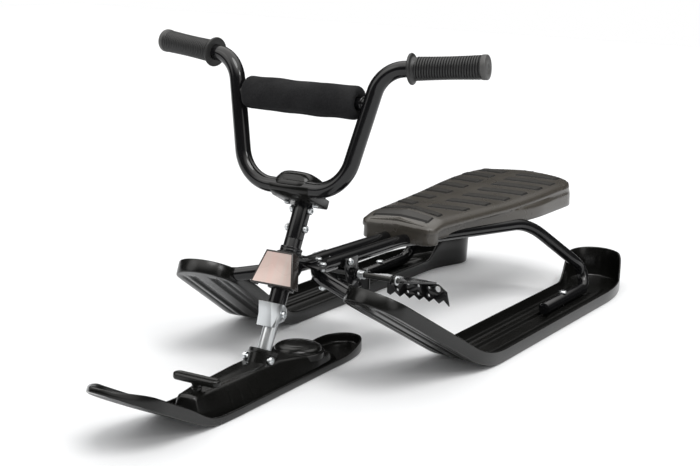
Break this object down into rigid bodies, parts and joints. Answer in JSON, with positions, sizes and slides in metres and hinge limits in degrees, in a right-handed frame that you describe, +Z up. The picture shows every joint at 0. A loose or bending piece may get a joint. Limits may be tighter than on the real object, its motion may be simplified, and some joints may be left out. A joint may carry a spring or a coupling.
{
  "type": "steering sled",
  "caption": "Steering sled: rear skis and a hard seat on a bent tube frame, raked column with a handlebar, tilting front ski, foot brake and tow handle.",
  "frame": {"origin": "on the ground, at the middle of the sled's length and width", "axes": "-Y is the way the sled travels, +X is the rider's left, +Z is up"},
  "size_m": [0.5254, 1.2202, 0.4619],
  "materials": {
    "painted_steel": "satin black powder coat",
    "zinc": "bright zinc plating",
    "black_plastic": "moulded, satin gloss",
    "seat_plastic": "moulded, fine grain",
    "rubber": "ribbed",
    "foam_cover": "soft cover over foam",
    "cover_plastic": "satin"
  },
  "bodies": {
    "frame": {"frame_tube_left": "painted_steel", "frame_tube_right": "painted_steel", "head_bracket": "painted_steel", "head_bush_lower": "black_plastic", "head_bush_upper": "black_plastic", "head_cover": "cover_plastic", "head_top_plate": "painted_steel", "head_plate_bolt_left_1": "zinc", "head_plate_bolt_left_2": "zinc", "head_plate_bolt_right_1": "zinc", "head_plate_bolt_right_2": "zinc", "seat": "seat_plastic", "seat_screw_front": "zinc", "seat_screw_rear": "zinc", "seat_strap_front": "painted_steel", "seat_strap_rear": "painted_steel", "rear_ski_left": "black_plastic", "rear_ski_right": "black_plastic", "ski_bolt_left": "zinc", "ski_bolt_right": "zinc", "brake_bracket": "painted_steel", "brake_bracket_bolt": "zinc", "brake_spring_left": "zinc", "brake_spring_right": "zinc"},
    "steering": {"handlebar": "painted_steel", "crossbar_pad": "foam_cover", "grip_left": "rubber", "grip_right": "rubber", "clamp_base": "black_plastic", "clamp_cover": "black_plastic", "clamp_screw_left": "zinc", "clamp_screw_right": "zinc", "stem_tube": "painted_steel", "stem_bolt_lower": "zinc", "stem_bolt_upper": "zinc", "stem_nut_lower": "zinc", "stem_nut_upper": "zinc", "column_tube": "painted_steel", "column_collar": "painted_steel", "lower_column": "zinc", "pivot_lug": "zinc", "fork_bracket": "zinc", "fork_bolt": "zinc"},
    "tilting_ski": {"front_ski": "black_plastic", "ski_housing": "black_plastic", "pivot_bolt": "zinc", "pivot_nut": "zinc", "reel_cover": "black_plastic", "reel_pin": "zinc", "housing_screw_front": "zinc", "housing_screw_rear": "zinc"},
    "reel": {"cord_reel": "black_plastic"},
    "tow_handle": {"pull_handle": "black_plastic"},
    "brake": {"brake_axle": "zinc", "brake_plate_left": "painted_steel", "brake_plate_right": "painted_steel", "axle_clip_left": "zinc", "axle_clip_right": "zinc"}
  },
  "joints": [
    {"name": "steering_turn", "type": "hinge", "parent": "frame", "child": "steering", "pos_m": [0, -0.2586, 0.049], "axis": [0, 0.4321, 0.9018], "range_deg": [-22, 22]},
    {"name": "ski_tilt", "type": "hinge", "parent": "steering", "child": "tilting_ski", "pos_m": [0, -0.271, 0.0415], "axis": [1, 0, 0], "range_deg": [-12, 3.5]},
    {"name": "brake_press", "type": "hinge", "parent": "frame", "child": "brake", "pos_m": [0, -0.075, 0.126], "axis": [-1, 0, 0], "range_deg": [0, 40], "stiffness_Nm_per_rad": 0.6, "springref_deg": -80.21},
    {"name": "handle_pull", "type": "slide", "parent": "tilting_ski", "child": "tow_handle", "axis": [0, 0, 1], "range_m": [0, 0.014]},
    {"name": "reel_turn", "type": "hinge", "parent": "tilting_ski", "child": "reel", "pos_m": [0, -0.174, 0.012], "axis": [0, 0, 1], "range_deg": [0, 41]}
  ],
  "couplings": [
    {"joint": "reel_turn", "follows": "handle_pull", "rad_per_m": 50}
  ]
}
